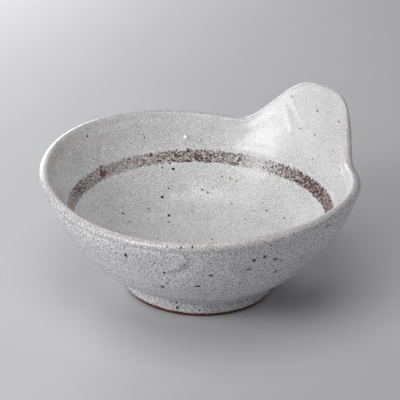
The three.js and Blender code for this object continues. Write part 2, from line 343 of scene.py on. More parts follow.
def lip_flare(turned_height, run):
    """How far the lip turns out, when it does so over the last run of the wall's height."""
    return LIP_FLARE * eased(turned_height, RIM_HEIGHT - run, RIM_HEIGHT - LIP_RADIUS)


fullest, leanest = belly(BELLY_FULL_TO, np.array([BELLY_SIDE, BELLY_SIDE - 180])).round(2)
print("the belly stands out by", fullest, "mm on its full side and", leanest, "mm opposite")

# %% The drawn skin
TAB_THINNING = 0.28
OUTER_FACE_TO = 0.35 * WALL_THICKNESS
INNER_FACE_FROM = 0.7 * WALL_THICKNESS


def drawn(radius, height, angle):
    """Moves turned points up the wall by the rim's lift, eased in from the stripe to the rim, brings the
    tab's inner face nearer to its outer face, and fills out the belly and the rim."""
    turn = np.radians(angle)
    share = eased(height, DRAW_FROM, RIM_HEIGHT)
    depth = wall_radius(height) - radius
    inwards = depth * (1 - TAB_THINNING * share * tab_share(angle))
    lifted = height + share * rim_lift(angle)
    pushed = wall_radius(lifted) - inwards
    lobed = np.where(share > 0, pushed + share * RIM_THREE_LOBE * np.cos(3 * turn), radius)
    flared = lobed + lip_flare(height, LIP_FLARE_HEIGHT)
    outer = 1 - eased(depth, OUTER_FACE_TO, INNER_FACE_FROM)
    full = flared + belly(height, angle) * outer + fuller_rim(height, angle, depth)
    return np.stack([AXIS_X + full * np.cos(turn), full * np.sin(turn), lifted + 0 * turn], -1)


COLUMNS = 352
TAB_CROWDING = 0.38
steps_round = np.linspace(0, 2 * np.pi, COLUMNS, endpoint=False)
column_angle = np.degrees(steps_round - TAB_CROWDING * np.sin(steps_round))
plain_skin = drawn(rows[:, :1], rows[:, 1:], column_angle[None, :])
print("skin grid", plain_skin.shape, "top of the tab at", plain_skin[..., 2].max().round(2), "mm")

# %% [markdown]
# ## Marks of the hand
# Nothing thrown by hand is smooth. Fingers leave low rings that climb as a spiral, the tab was pressed
# on with two strokes, and there is a bent fold in front, a crease at the back and a few pulls where the
# wall was drawn in. All of these are moves of the skin along its own normal, half a millimetre at most,
# so the clay below stays covered. They are geometry and not bump, because light along an edge and a
# look from the side both show them.

# %% Helpers for marks on the wall
MEAN_RADIUS = 58.0
WOBBLE_WAVES = ((0.13, 3, 7, 0), (0.08, 5, -5, 1), (0.04, 11, 4, 2))
TAB_STROKES = (((11.1, 61.5), (2.7, 53.0), 1.0, -0.85), ((12.7, 57.0), (8.0, 49.6), 0.85, -0.6))


def stroke(angle, height, start, end, width):
    """1 along a line between two places (angle, height), fading as exp(-(distance / width) squared)."""
    along = np.radians(off_tab(end[0] - start[0])) * MEAN_RADIUS
    rise = end[1] - start[1]
    u = np.radians(off_tab(angle - start[0])) * MEAN_RADIUS
    v = height - start[1]
    t = np.clip((u * along + v * rise) / (along**2 + rise**2), 0, 1)
    distance = np.hypot(u - t * along, v - t * rise)
    return np.exp(-((distance / width) ** 2))


def patch(angle, height, middle, reach):
    """1 at a place (angle, height), fading as a bell with its own reach across and up, in mm."""
    u = np.radians(off_tab(angle - middle[0])) * MEAN_RADIUS
    return np.exp(-((u / reach[0]) ** 2) - ((height - middle[1]) / reach[1]) ** 2)


def strokes(angle, height, *given):
    """Sum of strokes, each given as (start, end, width, how far it stands out in mm)."""
    return sum(out * stroke(angle, height, start, end, width) for start, end, width, out in given)


def patches(angle, height, *given):
    """Sum of patches, each given as (middle, reach, how far it stands out in mm)."""
    return sum(out * patch(angle, height, middle, reach) for middle, reach, out in given)


def wobble(angle, height):
    """Slow unevenness: sines that run round the bowl and lean with height, each given as (mm, count round
    the bowl, mm of height for each radian, start)."""
    turn = np.radians(angle)
    return sum(out * np.sin(count * turn + height / lean + at) for out, count, lean, at in WOBBLE_WAVES)


near_first_mark = stroke(6.0, 57.0, *TAB_STROKES[0][:3])
print("a stroke reads", round(float(near_first_mark), 2), "near the tab's first mark")

# %% Marks inside
RING_PITCH = 3.7
RINGS_INSIDE = 0.012
CREASE = (((92.1, 52.6), (94.3, 47.0)), ((91.2, 45.8), (95.4, 41.9)), ((95.4, 41.9), (96.6, 36.5)))
CREASE_WIDTH = 1.1
CREASE_DEEP = 0.4
CREASE_SWELL = ((89.0, 51.0), (92.5, 37.0), 2.0, 0.25)
PRESSED_LINE = ((67.0, 53.0), (69.0, 44.0), 1.2, -0.18)
PRESSES = (((39.0, 49.0), (1.6, 3.0), -0.3), ((101.0, 46.0), (5.0, 7.0), -0.3))


def crease_line(angle, height, width):
    """The crease inside at the back: the most of three short strokes that step aside as they go down."""
    return np.maximum.reduce([stroke(angle, height, start, end, width) for start, end in CREASE])


def marks_inside(angle, height, radius):
    """Faint rings, two strokes on the tab, the crease with a swell beside it, and presses below the rim."""
    along = height + 0.35 * radius
    rings = RINGS_INSIDE * np.sin(2 * np.pi * along / RING_PITCH + np.radians(angle))
    crease = CREASE_DEEP * crease_line(angle, height, CREASE_WIDTH)
    drawn_lines = strokes(angle, height, *TAB_STROKES, CREASE_SWELL, PRESSED_LINE)
    return rings + drawn_lines - crease + patches(angle, height, *PRESSES)


off_crease = marks_inside(70.0, 30.0, 55.0)
print("the crease is", round(float(off_crease - marks_inside(95.4, 41.9, 55.0)), 2), "mm deep")

# %% Marks outside
RINGS_OUTSIDE = 0.03
RINGS_CLIMB = 20
RINGS_DEEPER = (((-84.0, 31.0), (34.0, 11.0), 0.12), ((165.0, 34.0), (24.0, 9.0), 0.06))
HOLLOW = ((-153.0, 36.0), (5.0, 6.0), -0.3)
RIDGE = ((-131.0, 26.2), (-124.0, 23.8), 1.1, 0.3)
PULLS = (((172.0, 49.0), (176.0, 34.0), 1.3, -0.3), ((178.0, 48.0), (-177.0, 30.0), 1.2, -0.3))
LUMPS = 0.07
FOLD_MIDDLE = (-148.0, 44.5)
FOLD_BEND = 10.2
FOLD_WIDTH = 2.1
FOLD_HEIGHT = 2.0
FOLD_FACES = -37.0
FOLD_SPAN = 42.0


def front_fold(angle, height):
    """A fold bent like a sickle: with x the distance from an arc, minus x times exp(-x squared), so that
    the wall is raised inside the arc and sunk outside it."""
    u = np.radians(off_tab(angle - FOLD_MIDDLE[0])) * MEAN_RADIUS
    v = height - FOLD_MIDDLE[1]
    across = (np.hypot(u, v) - FOLD_BEND) / FOLD_WIDTH
    along = off_tab(np.degrees(np.arctan2(v, u)) - FOLD_FACES)
    return -FOLD_HEIGHT * across * np.exp(-(across**2) - (along / FOLD_SPAN) ** 2)


def marks_outside(angle, height):
    """Rings that climb as a spiral, the bent fold, a ridge and a hollow in front, pulls below the rim, and
    low lumps as the product of two sines."""
    turn = np.radians(angle)
    deep = RINGS_OUTSIDE + patches(angle, height, *RINGS_DEEPER)
    rings = deep * np.sin(2 * np.pi * height / RING_PITCH - RINGS_CLIMB * turn)
    lumps = LUMPS * np.sin(17 * turn + height / 2.4) * np.sin(height / 3.3 - 6 * turn)
    marked = front_fold(angle, height) + strokes(angle, height, RIDGE, *PULLS)
    return rings + lumps + marked + patches(angle, height, HOLLOW)


sunk = marks_outside(*HOLLOW[0])
print("the hollow in front is sunk to", round(float(sunk), 2), "mm")

# %% The lip inside and outside
LIP_RUNS_DOWN = 13.0
LIP_RUN_SHARE = 0.8
LIP_ROLL_LATER = 1.2
LIP_THINNED = 0.3
LIP_THINNED_SIDE = (125.0, 55.0)


def lip_roll(angle, turned_height):
    """How far the lip's swell less its flare stands off the inner face: all on the tab, half elsewhere."""
    swell = eased(turned_height - LIP_ROLL_LATER, LIP_END - LIP_SWELL_HEIGHT, LIP_END)
    tab = tab_share(angle)
    stands = swell * (LIP_THICKNESS - WALL_THICKNESS) * (1 - TAB_THINNING * tab)
    return (stands - lip_flare(turned_height, LIP_FLARE_HEIGHT)) * (1 + tab) / 2


def lip_thinned(angle, turned_height):
    """What the potter's fingers took off the inside of the lip: a bell round the bowl that is most left of
    the tab, eased in from 6 to 2 mm below the rim."""
    share = eased(turned_height, RIM_HEIGHT - 6, RIM_HEIGHT - 2)
    return LIP_THINNED * bell(angle, *LIP_THINNED_SIDE) * share


def lip_run(turned_height):
    """Fill under the lip outside: the glaze ran down and turned its sharp flare into a long one."""
    longer = lip_flare(turned_height, LIP_RUNS_DOWN) - lip_flare(turned_height, LIP_FLARE_HEIGHT)
    return LIP_RUN_SHARE * longer


under_lip = np.linspace(RIM_HEIGHT - LIP_RUNS_DOWN, RIM_HEIGHT)
print("the glaze fills up to", lip_run(under_lip).max().round(2), "mm under the lip")

# %% The whole relief
RELIEF_MOST = 0.5
RELIEF_LESS_INSIDE = 0.1
RIM_SUNK = 0.11


def facing(side):
    """1 on the side of the wall that is given as 1, eased away over the lip to 0 on the other."""
    return eased(side, -0.2, 1)


def relief(side, angle, height, radius, turned_height):
    """Height of the marks along the normal, held by a tanh within half a millimetre and less inside: none
    at the pole, and only inwards near the rim, where the bowl is widest."""
    inside = marks_inside(angle, height, radius) - lip_roll(angle, turned_height)
    inside = (inside - lip_thinned(angle, turned_height)) * facing(-side)
    outside = (marks_outside(angle, height) + lip_run(turned_height)) * facing(side)
    total = (inside + outside + wobble(angle, height)) * eased(radius, 2, 18)
    most = RELIEF_MOST - RELIEF_LESS_INSIDE * facing(-side)
    held = most * np.tanh(total / most)
    at_rim = eased(turned_height, RIM_HEIGHT - 7, RIM_HEIGHT - 3.5) * eased(side, -1, 0)
    return held * (1 - at_rim) + (np.minimum(held, 0) - RIM_SUNK) * at_rim


def normals_of(grid):
    """Unit normals of a grid closed round its columns: along the rows crossed with along the columns."""
    along = np.gradient(grid, axis=0)
    around = np.roll(grid, -1, axis=1) - np.roll(grid, 1, axis=1)
    across = np.cross(along, around)
    length = np.linalg.norm(across, axis=-1, keepdims=True)
    return np.where(length > 1e-9, across / np.maximum(length, 1e-9), UPRIGHT)


skin_normals = normals_of(plain_skin)
skin_relief = relief(row_side[:, None], column_angle[None, :], plain_skin[..., 2], rows[:, :1], rows[:, 1:])
skin = plain_skin + skin_normals * skin_relief[..., None]
print("relief from", skin_relief.min().round(2), "to", skin_relief.max().round(2), "mm")

# %% [markdown]
# ## The glaze as a mesh
# The glaze is a coat about half a millimetre thick, so the piece is a closed shell: the worked skin
# outside and a plainer one behind it, joined under the rounded bead where the glaze stops on the foot.
# A Solidify modifier could give the thickness, but it would thicken the marks as well.

# %% Mesh helpers


def grid_quads(row_count, column_count):
    """Four corners for each cell of a grid that closes round its columns, facing along its normals."""
    row = np.arange(row_count - 1)[:, None] * column_count
    here = row + np.arange(column_count)[None, :]
    beside = row + (np.arange(column_count)[None, :] + 1) % column_count
    return np.stack([here, here + column_count, beside + column_count, beside], -1).reshape(-1, 4)


def fan(pole, ring_start, column_count):
    """Triangles from a pole to the ring of vertices that starts at an index."""
    ring = ring_start + np.arange(column_count)
    return np.stack([np.full(column_count, pole), ring, np.roll(ring, -1)], -1)


def capped(row_count, column_count):
    """Faces of a grid that closes at both ends on a pole each, the two poles numbered after the grid."""
    pole = row_count * column_count
    last_fan = fan(pole + 1, pole - column_count, column_count)[:, ::-1]
    return [grid_quads(row_count, column_count), fan(pole, 0, column_count), last_fan]


def looped(row_count, column_count):
    """Faces of a grid that also closes from its last row to its first, as a ring does."""
    first = np.arange(column_count)
    last = (row_count - 1) * column_count + first
    seam = np.stack([last, first, np.roll(first, -1), np.roll(last, -1)], -1)
    return [grid_quads(row_count, column_count), seam]


def closed(mesh):
    """True where every edge has two faces: each face has one loop for each of its edges."""
    return 2 * len(mesh.edges) == len(mesh.loops)


def add_piece(name, points, faces, attributes=None):
    """Puts points in mm and lists of faces into a smooth mesh with named values for each point."""
    mesh = bpy.data.meshes.new(name)
    mesh.from_pydata(points.reshape(-1, 3) * MM, [], [f for part in faces for f in part.tolist()])
    mesh.shade_smooth()
    for key, values in (attributes or {}).items():
        layer = mesh.attributes.new(key, "FLOAT", "POINT")
        layer.data.foreach_set("value", np.ascontiguousarray(values, np.float32).ravel())
    piece = bpy.data.objects.new(name, mesh)
    bpy.context.scene.collection.objects.link(piece)
    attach(piece, "root")
    triangles = sum(len(f) - 2 for part in faces for f in part.tolist())
    print(name, len(mesh.vertices), "vertices,", triangles, "triangles, closed:", closed(mesh))
    return piece


print("a grid of 3 rows of 4 has", sum(len(part) for part in capped(3, 4)), "faces when it is capped")

# %% Where the glaze ran thin, with painted shade along the crease
THIN_IN_FRONT = (-138.0, 28.0)
THIN_BY_TAB = (-24.0, 16.0)
THIN_LEFT = (148.0, 34.0)
THIN_BACK = ((126.0, 49.6), (24.0, 1.6))
CREASE_TAN_AND_SHADE_WIDTH = 0.9


def thin_glaze_and_crease_shade(side, angle, height, turned_height):
    """How thin the glaze ran: the most of what it lost on the lip's crest, in front above all, inside the
    lip at the back and left, and along the crease, where the tan is partly painted shade, plus an ease at
    the lower edge."""
    along_rim = (0.2 + 0.7 * bell(angle, *THIN_IN_FRONT)) * (1 - tab_share(angle))
    crest = eased(1 - np.abs(side), 0.05, 0.8) * (along_rim + 0.5 * bell(angle, *THIN_BY_TAB))
    lip_back = patch(angle, height, *THIN_BACK) * facing(-side)
    below_rim = eased(turned_height, RIM_HEIGHT - 6, RIM_HEIGHT - 3) * (1 - eased(side, -0.85, -0.3))
    lip_left = bell(angle, *THIN_LEFT) * below_rim
    # Tan along the crease: partly the glaze breaking thin at its edge, partly painted shade in the crease.
    crease = 0.9 * crease_line(angle, height, CREASE_TAN_AND_SHADE_WIDTH) * facing(-side)
    low_edge = eased(-height, -2.9, -1.6)
    return np.maximum(np.maximum(crest, lip_left), np.maximum(lip_back, crease)) + low_edge


front_side = row_side[1:, None]
thin = thin_glaze_and_crease_shade(front_side, column_angle[None, :], skin[1:, :, 2], rows[1:, 1:])
print("thin glaze on", round(100 * float((thin > 0.5).mean()), 1), "percent of the points")

# %% The glaze shell
GLAZE_THICKNESS = 0.5
PEPPER_INSIDE = 0.46
PEPPER_OUTSIDE = 0.92
PEPPER_LESS_AS_PAINTED_HIGHLIGHT = 0.26
PAINTED_HIGHLIGHT_SIDE = (10.0, 28.0)
BACK_STEP = 4
BACK_STOPS_SHORT = 6
back_rows = np.arange(BACK_STEP, len(rows) - BACK_STOPS_SHORT, BACK_STEP)
back = skin[back_rows] - GLAZE_THICKNESS * skin_normals[back_rows]
front_points = skin[1:].reshape(-1, 3)
back_points = back[::-1].reshape(-1, 3)
poles = np.array([skin[0, 0], [AXIS_X, 0, FLOOR_HEIGHT - GLAZE_THICKNESS]])
unseen = np.zeros(len(back_points) + len(poles))
pepper = PEPPER_INSIDE + (PEPPER_OUTSIDE - PEPPER_INSIDE) * eased(front_side, -1, 1)
# Fewer dark grains on the inside of the tab, where the shine falls: a painted highlight.
by_painted_highlight = bell(column_angle, *PAINTED_HIGHLIGHT_SIDE)[None, :]
in_painted_highlight = by_painted_highlight * eased(skin[1:, :, 2], 36, 44) * eased(-front_side, 0, 1)
pepper = pepper - PEPPER_LESS_AS_PAINTED_HIGHLIGHT * in_painted_highlight
glaze = add_piece(
    "glaze_coat_worked",
    np.concatenate([front_points, back_points, poles]),
    capped(len(rows) - 1 + len(back_rows), COLUMNS),
    {key: np.concatenate([values.ravel(), unseen]) for key, values in (("thin", thin), ("pepper", pepper))},
)
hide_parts("glaze_coat")

# %% [markdown]
# ## The iron stripe
# The stripe is iron oxide in water, laid on with one turn of a brush. It is not a clean band: it is
# heavy at one place and nearly bare at another, its edges break into grains, and the glaze shows
# between them. The strip is wider than the brush mark and stands a few hundredths of a millimetre
# proud of the glaze. Values on its points tell the material how much wash, grain and rust lies there,
# and the material breaks that up into grains, which no mesh could carry.

# %% The stripe as a strip round the inside
STRIP_WIDTH = 9.0
STRIP_PROUD = 0.05
STRIP_DEPTH = 0.2
STRIP_EDGE_DROP = 0.12
STRIP_BACK_STEP = 6
strip_across = np.linspace(-1, 1, 19)
strip_rise = STRIP_WIDTH / 2 * math.cos(math.atan(wall_lean(BAND_HEIGHT)))
strip_section = inner_face(across_from(BAND_HEIGHT + strip_rise * strip_across))
strip_plain = drawn(strip_section[:, :1], strip_section[:, 1:], column_angle[None, :])
strip_normals = normals_of(strip_plain)
strip_inside = np.full((len(strip_across), 1), -1.0)
strip_relief = relief(
    strip_inside, column_angle[None, :], strip_plain[..., 2], strip_section[:, :1], strip_section[:, 1:]
)
strip_stand = STRIP_PROUD - STRIP_EDGE_DROP * np.abs(strip_across[:, None]) ** 10
strip_front = strip_plain + strip_normals * (strip_relief + strip_stand)[..., None]
strip_back = (strip_plain + strip_normals * (strip_relief - STRIP_DEPTH)[..., None])[::-STRIP_BACK_STEP]
print("strip front", strip_front.shape[:2], "points, back", strip_back.shape[:2])

# %% What the brush left
STRIPE_RADIUS = 54.0


def along_brush(angle, *dabs):
    """Sum of soft dabs round the bowl, each given as (angle, reach in degrees, strength)."""
    return sum(strength * bell(angle, middle, reach) for middle, reach, strength in dabs)


def clump(angle, across, middle, middle_across, reach):
    """1 at a place (angle, mm across) on the stripe, fading as a bell with a reach in mm both ways."""
    along = np.radians(off_tab(angle - middle)) * STRIPE_RADIUS
    return np.exp(-((along / reach) ** 2) - ((across - middle_across) / reach) ** 2)


def clumps_on_stripe(angle, across, *clumps):
    """Sum of soft clumps on the stripe, each given as (angle, mm across, reach in mm, strength)."""
    return sum(strength * clump(angle, across, *place) for *place, strength in clumps)


across_mm = strip_across[:, None] * STRIP_WIDTH / 2
wash = 0.78 + along_brush(column_angle, (-25, 25, 0.2), (119, 6, 0.15), (82, 20, -0.05), (16, 8, -0.45))
grain = 0.43 + along_brush(column_angle, (44, 16, 0.03), (29, 5, 0.04), (119, 8, 0.05), (-15, 25, 0.03))
grain = grain + along_brush(column_angle, (82, 22, -0.03), (21.5, 4, -0.12), (9, 5, 0.03), (-38, 7, 0.03))
rust = 0.34 + along_brush(column_angle, (-20, 24, 0.15), (-42, 8, 0.06), (16, 9, -0.08))
rust = rust + clumps_on_stripe(
    column_angle[None, :], across_mm,
    (51.6, -1.5, 1.2, 0.24), (48, -1, 1.5, 0.26), (58.1, 0.5, 1.0, 0.24), (52.5, 2.5, 0.8, 0.22),
    (42.8, -2, 1.0, 0.24), (59, -1.5, 0.9, 0.2), (97.8, 0.5, 1.5, 0.26), (96.6, 2.8, 1.0, 0.24),
    (97.8, -1, 1.3, 0.24), (119, 1, 1.3, 0.22), (118, -0.5, 1.3, 0.22), (124, -1.5, 1.4, 0.24),
    (69.8, 2, 1.4, 0.14), (73.8, -0.5, 1.1, 0.14), (29, -1.5, 1.2, 0.12), (-24, -0.5, 2.2, 0.08),
)
mark_spread = clumps_on_stripe(
    column_angle[None, :], across_mm,
    (96.6, 3.2, 1.1, 0.8), (52.5, 3.0, 0.8, 0.5),
)
print("wash from", wash.min().round(2), "to", wash.max().round(2), "and rust up to", rust.max().round(2))

# %% The stripe as a piece


def on_strip(values):
    """Spreads values, for each column or for each front point, over the strip; the back repeats a row."""
    front = np.broadcast_to(values, (len(strip_across), COLUMNS))
    return np.concatenate([front, np.repeat(front[-1:], len(strip_back), axis=0)])


def band_edge():
    """1 in the brush mark, falling to 0 over its ragged edges: one minus an ease about the half width."""
    half = BAND_WIDTH / STRIP_WIDTH
    front = 1 - eased(np.abs(strip_across), half - 0.2, half + 0.24)[:, None] + mark_spread
    return np.concatenate([front, np.zeros((len(strip_back), COLUMNS))])


strip_points = np.concatenate([strip_front, strip_back])
stripe = add_piece(
    "iron_stripe_brushed",
    strip_points,
    looped(len(strip_points), COLUMNS),
    {
        "mark": band_edge(),
        "wash": on_strip(wash),
        "grain": on_strip(grain),
        "rust": on_strip(rust),
        "pepper": on_strip(PEPPER_INSIDE),
    },
)
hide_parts("iron_band")

# %% [markdown]
# ## Iron specks
# Bits of iron in the clay melt up through the glaze and leave dark spots, some large ones and many fine
# ones. The large ones are listed one by one, each by its side of the wall, its angle from the tab, its
# height and radius in millimetres and how rusty it is. The rest are drawn from a seeded generator, so each
# run gives the same bowl. A speck is a shallow blister of eight sides that follows the marks under it: its
# heart is dark and its edge has the colour of the glaze, so it has no hard outline.

# %% Places of the specks
INSIDE, OUTSIDE = -1, 1
LARGE_SPECKS = [
    (INSIDE, 98.5, 49.4, 0.5, 0.1), (INSIDE, 60, 29.5, 0.55, 0.2), (INSIDE, 69, 20.5, 0.6, 0.7),
    (INSIDE, 99.6, 19.3, 0.55, 0.1), (INSIDE, 70, 16.2, 0.6, 0.3), (INSIDE, 64, 22.6, 0.35, 0.2),
    (INSIDE, 71.4, 42.7, 0.35, 0.1), (INSIDE, 81, 18.1, 0.4, 0.1), (INSIDE, 74, 15.4, 0.4, 0.2),
    (INSIDE, 102, 17.6, 0.35, 0.1), (INSIDE, 104, 14.6, 0.35, 0.1), (INSIDE, 45.4, 21.9, 0.35, 0.2),
    (INSIDE, 42, 21.2, 0.35, 0.4), (INSIDE, 3, 19.6, 0.4, 0.4), (INSIDE, -12, 20.2, 0.4, 0.5),
    (INSIDE, 11, 16.4, 0.35, 0.4), (INSIDE, 35.4, 26.8, 0.4, 1.4), (INSIDE, 31, 26.8, 0.35, 1.2),
    (INSIDE, 27.5, 26.1, 0.38, 1.4), (INSIDE, 65.4, 30.2, 0.4, 1.2), (INSIDE, -0.7, 60.2, 0.36, 0.3),
    (INSIDE, -13, 60.3, 0.4, 0.6), (INSIDE, 4.3, 51.4, 0.28, 0.3), (INSIDE, -24, 47.7, 0.35, 0.2),
    (OUTSIDE, -161.8, 40.1, 0.55, 0.1), (OUTSIDE, -147.5, 34, 0.5, 0.2), (OUTSIDE, -149.8, 24.6, 0.65, 0.1),
    (OUTSIDE, -129.5, 34, 0.55, 0.3), (OUTSIDE, -134.5, 27, 0.6, 0.3), (OUTSIDE, -110.8, 42.7, 0.6, 0.3),
    (OUTSIDE, -105.5, 40.1, 0.6, 0.3), (OUTSIDE, -114.6, 41.6, 0.6, 0.1), (OUTSIDE, -102, 30.9, 0.65, 0.1),
    (OUTSIDE, -83.3, 48.2, 0.55, 0.1), (OUTSIDE, -140.5, 49.3, 0.3, 0.3),
    (OUTSIDE, -136.7, 50.1, 0.32, 0.3), (OUTSIDE, -115.4, 36.3, 0.5, 0.3),
    (OUTSIDE, -116.6, 27, 0.35, 0.4), (OUTSIDE, -150, 3.3, 0.58, 0.7), (OUTSIDE, -150.5, 5.6, 0.45, 0.7),
    (OUTSIDE, 62, 37, 0.55, 0.3), (OUTSIDE, 118, 29, 0.5, 0.2), (OUTSIDE, 20, 41, 0.5, 0.4),
    (OUTSIDE, -30, 33, 0.55, 0.3), (OUTSIDE, 91, 44, 0.45, 0.2),
    (OUTSIDE, -102.4, 38.2, 0.5, 0.6), (OUTSIDE, -114.3, 36.4, 0.35, 0.2), (OUTSIDE, -174.7, 26, 0.35, 0.3),
    (OUTSIDE, 168, 31.2, 0.35, 0.2), (OUTSIDE, -164.1, 23, 0.35, 0.3), (OUTSIDE, -147, 27.5, 0.35, 0.4),
    (OUTSIDE, -109.5, 48.6, 0.35, 0.5), (INSIDE, 23.4, 13.8, 0.4, 0.3), (OUTSIDE, -132.9, 3.3, 0.35, 0.2),
    (INSIDE, -17.4, 49.6, 0.3, 0.5), (INSIDE, -7.2, 42.5, 0.3, 0.3), (INSIDE, -27.3, 46, 0.34, 0.2),
    (INSIDE, -28.1, 42.9, 0.3, 0.3), (INSIDE, -3.6, 51.5, 0.33, 0.8),
]
FINE_SPECKS = 150
random = np.random.default_rng(7)
large = np.array(LARGE_SPECKS, float)
fine = np.stack(
    [
        random.choice([INSIDE, OUTSIDE], FINE_SPECKS, p=[0.4, 0.6]),
        random.uniform(-180, 180, FINE_SPECKS),
        random.uniform(14.5, 50, FINE_SPECKS),
        random.uniform(0.12, 0.3, FINE_SPECKS),
        random.uniform(0, 0.8, FINE_SPECKS),
    ],
    -1,
)
specks = np.concatenate([large, fine])
print(len(large), "large specks and", len(fine), "fine ones")

# %% Places on the skin
OTHER_SIDE = 1000.0


def on_glaze(side, angle, height):
    """Points, normals and rows of the glaze at a side, angle and height: the row that is nearest in height,
    and between two columns the share of the way."""
    wrapped = angle % 360
    column = np.searchsorted(column_angle, wrapped, side="right") - 1
    ahead = (column + 1) % COLUMNS
    gap = (column_angle[ahead] - column_angle[column]) % 360
    share = ((wrapped - column_angle[column]) / gap)[:, None]
    height_off = np.abs(skin[:, column, 2] - height[None, :])
    wrong_side = np.sign(row_side)[:, None] != np.sign(side)[None, :]
    row = np.argmin(height_off + OTHER_SIDE * wrong_side, axis=0)
    point = skin[row, column] * (1 - share) + skin[row, ahead] * share
    normal = skin_normals[row, column] * (1 - share) + skin_normals[row, ahead] * share
    return point, normal / np.linalg.norm(normal, axis=-1, keepdims=True), row


centre, normal, speck_row = on_glaze(specks[:, 0], specks[:, 1], specks[:, 2])
print("specks lie from", centre[:, 2].min().round(1), "to", centre[:, 2].max().round(1), "mm up")

# %% Size and lie of each speck
SPECK_SIDES = 8
SPECK_RINGS = np.array([0.45, 0.8, 1.0])
SPECK_CROWN = 0.1
SPECK_SUNK = 0.05
SPECK_GROWTH = 1.7
SPECK_RUN_OUTSIDE = 1.1
SPECK_GROWTH_OUTSIDE = 1.2
speck_side, speck_angle, speck_height = specks[:, :3].T
level = np.cross(UPRIGHT, normal) + [1e-6, 0, 0]
level /= np.linalg.norm(level, axis=-1, keepdims=True)
steep = np.cross(normal, level)
on_wall = (speck_side > 0) & (speck_height > FOOT_HEIGHT)
size = SPECK_GROWTH * np.where(on_wall, SPECK_GROWTH_OUTSIDE, 1.0) * specks[:, 3]
stretch = random.uniform(0.75, 1.3, len(specks))
ring_turn = np.arange(SPECK_SIDES) * 2 * np.pi / SPECK_SIDES
uneven = random.uniform(0.8, 1.15, (len(specks), SPECK_SIDES))
reach = size[:, None, None] * SPECK_RINGS[None, :, None] * uneven[:, None, :]
run = np.where(on_wall, SPECK_RUN_OUTSIDE, 1.0) / stretch
across = reach * np.cos(ring_turn) * stretch[:, None, None]
upward = reach * np.sin(ring_turn) * run[:, None, None]
print("specks reach", size.min().round(2), "to", size.max().round(2), "mm from their middles")

# %% Blisters on the skin


def speck_relief(across, upward):
    """Relief of the glaze beside each speck's middle, so that its ring can follow the marks of the hand."""
    each = (slice(None), None, None)
    from_axis = np.hypot(centre[:, 0] - AXIS_X, centre[:, 1])[each]
    angle = speck_angle[each] + np.degrees(speck_side[each] * across / from_axis)
    rise = upward * steep[:, 2][each]
    turned_at = rows[speck_row]
    return relief(
        speck_side[each],
        angle,
        centre[:, 2][each] + rise,
        turned_at[:, 0][each],
        turned_at[:, 1][each] + rise,
    )


ring_rise = (SPECK_CROWN * (1 - SPECK_RINGS**2) - SPECK_SUNK * SPECK_RINGS**6)[None, :, None]
ring_rise = ring_rise + speck_relief(across, upward) - speck_relief(0 * across, 0 * upward)
rings = centre[:, None, None] + across[..., None] * level[:, None, None, :]
rings = rings + upward[..., None] * steep[:, None, None, :]
rings = rings + ring_rise[..., None] * normal[:, None, None, :]
crown = centre + SPECK_CROWN * normal
root = centre - 2 * SPECK_SUNK * normal
blister = np.concatenate([rings.reshape(len(specks), -1, 3), crown[:, None], root[:, None]], 1)

starts = np.arange(len(specks))[:, None, None] * blister.shape[1]
heart = np.concatenate([np.repeat(1 - SPECK_RINGS, SPECK_SIDES), [1.0, 0.0]])
speck_pepper = np.where(speck_side > 0, PEPPER_OUTSIDE, PEPPER_INSIDE)
speck_values = {"heart": heart, "rust": specks[:, 4:5], "pepper": speck_pepper[:, None]}
speck_piece = add_piece(
    "iron_specks",
    blister,
    [(starts + f[None]).reshape(-1, f.shape[1]) for f in capped(len(SPECK_RINGS), SPECK_SIDES)],
    {key: np.broadcast_to(values, blister.shape[:2]) for key, values in speck_values.items()},
)

# %% [markdown]
# ## A bead of glaze
# High on the back of the inside, one bubble of the glaze set as a small round bead, and it catches the
# light as a white point; the bead's white colour is partly a painted highlight. It is a low cap of a sphere
# that leans to its left, as a drop does that set while it slid, and it has more sides than a speck because
# its shine would show any corner.

# %% The bead as a cap
BEAD_RADIUS = 1.0
BEAD_DOME = 3.2
BEAD_LEAN = math.radians(27)
BEAD_LIFT = 0.28
BEAD_ROOT = 0.5
BEAD_SIDES = 20
BEAD_RINGS = 8
BEAD_FIRST_RING = 0.12
BEAD_PLACE = np.array([[INSIDE], [53.5], [41.2]])
bead_centre, bead_normal = (found[0] for found in on_glaze(*BEAD_PLACE)[:2])
bead_level = unit(np.cross(UPRIGHT, bead_normal))
bead_steep = np.cross(bead_normal, bead_level)
bead_axis = math.cos(BEAD_LEAN) * bead_normal - math.sin(BEAD_LEAN) * bead_level
bead_sideways = math.cos(BEAD_LEAN) * bead_level + math.sin(BEAD_LEAN) * bead_normal
bead_middle = bead_centre + BEAD_LIFT * bead_normal
bead_out = np.linspace(BEAD_FIRST_RING, 1, BEAD_RINGS)[:, None]
bead_turn = np.arange(BEAD_SIDES) * 2 * np.pi / BEAD_SIDES


def on_bead(out, turn):
    """Points of the cap at a share of its radius and an angle: the rise is the sphere's less its rise at
    the cap's edge."""
    across = BEAD_RADIUS * out * np.cos(turn)
    upward = BEAD_RADIUS * out * np.sin(turn)
    edge = math.sqrt(BEAD_DOME**2 - BEAD_RADIUS**2)
    rise = np.sqrt(BEAD_DOME**2 - across**2 - upward**2) - edge
    level_part = across[..., None] * bead_sideways + upward[..., None] * bead_steep
    return bead_middle + level_part + rise[..., None] * bead_axis


bead_top = on_bead(np.zeros(1), np.zeros(1))
bead_root = bead_centre[None, :] - BEAD_ROOT * bead_normal
bead_points = np.concatenate([on_bead(bead_out, bead_turn).reshape(-1, 3), bead_top, bead_root])
bead = add_piece("glaze_bead", bead_points, capped(BEAD_RINGS, BEAD_SIDES))

# %% [markdown]
# ## The foot
# The bowl stands on a turned ring of bare clay. The glaze was wiped off its standing edge, so the
# red-brown body shows as a thin line at the table. Inside the ring the base is glazed again. Both are
# turned shapes: one closed outline carried round the axis, with low rings from the turning tool.

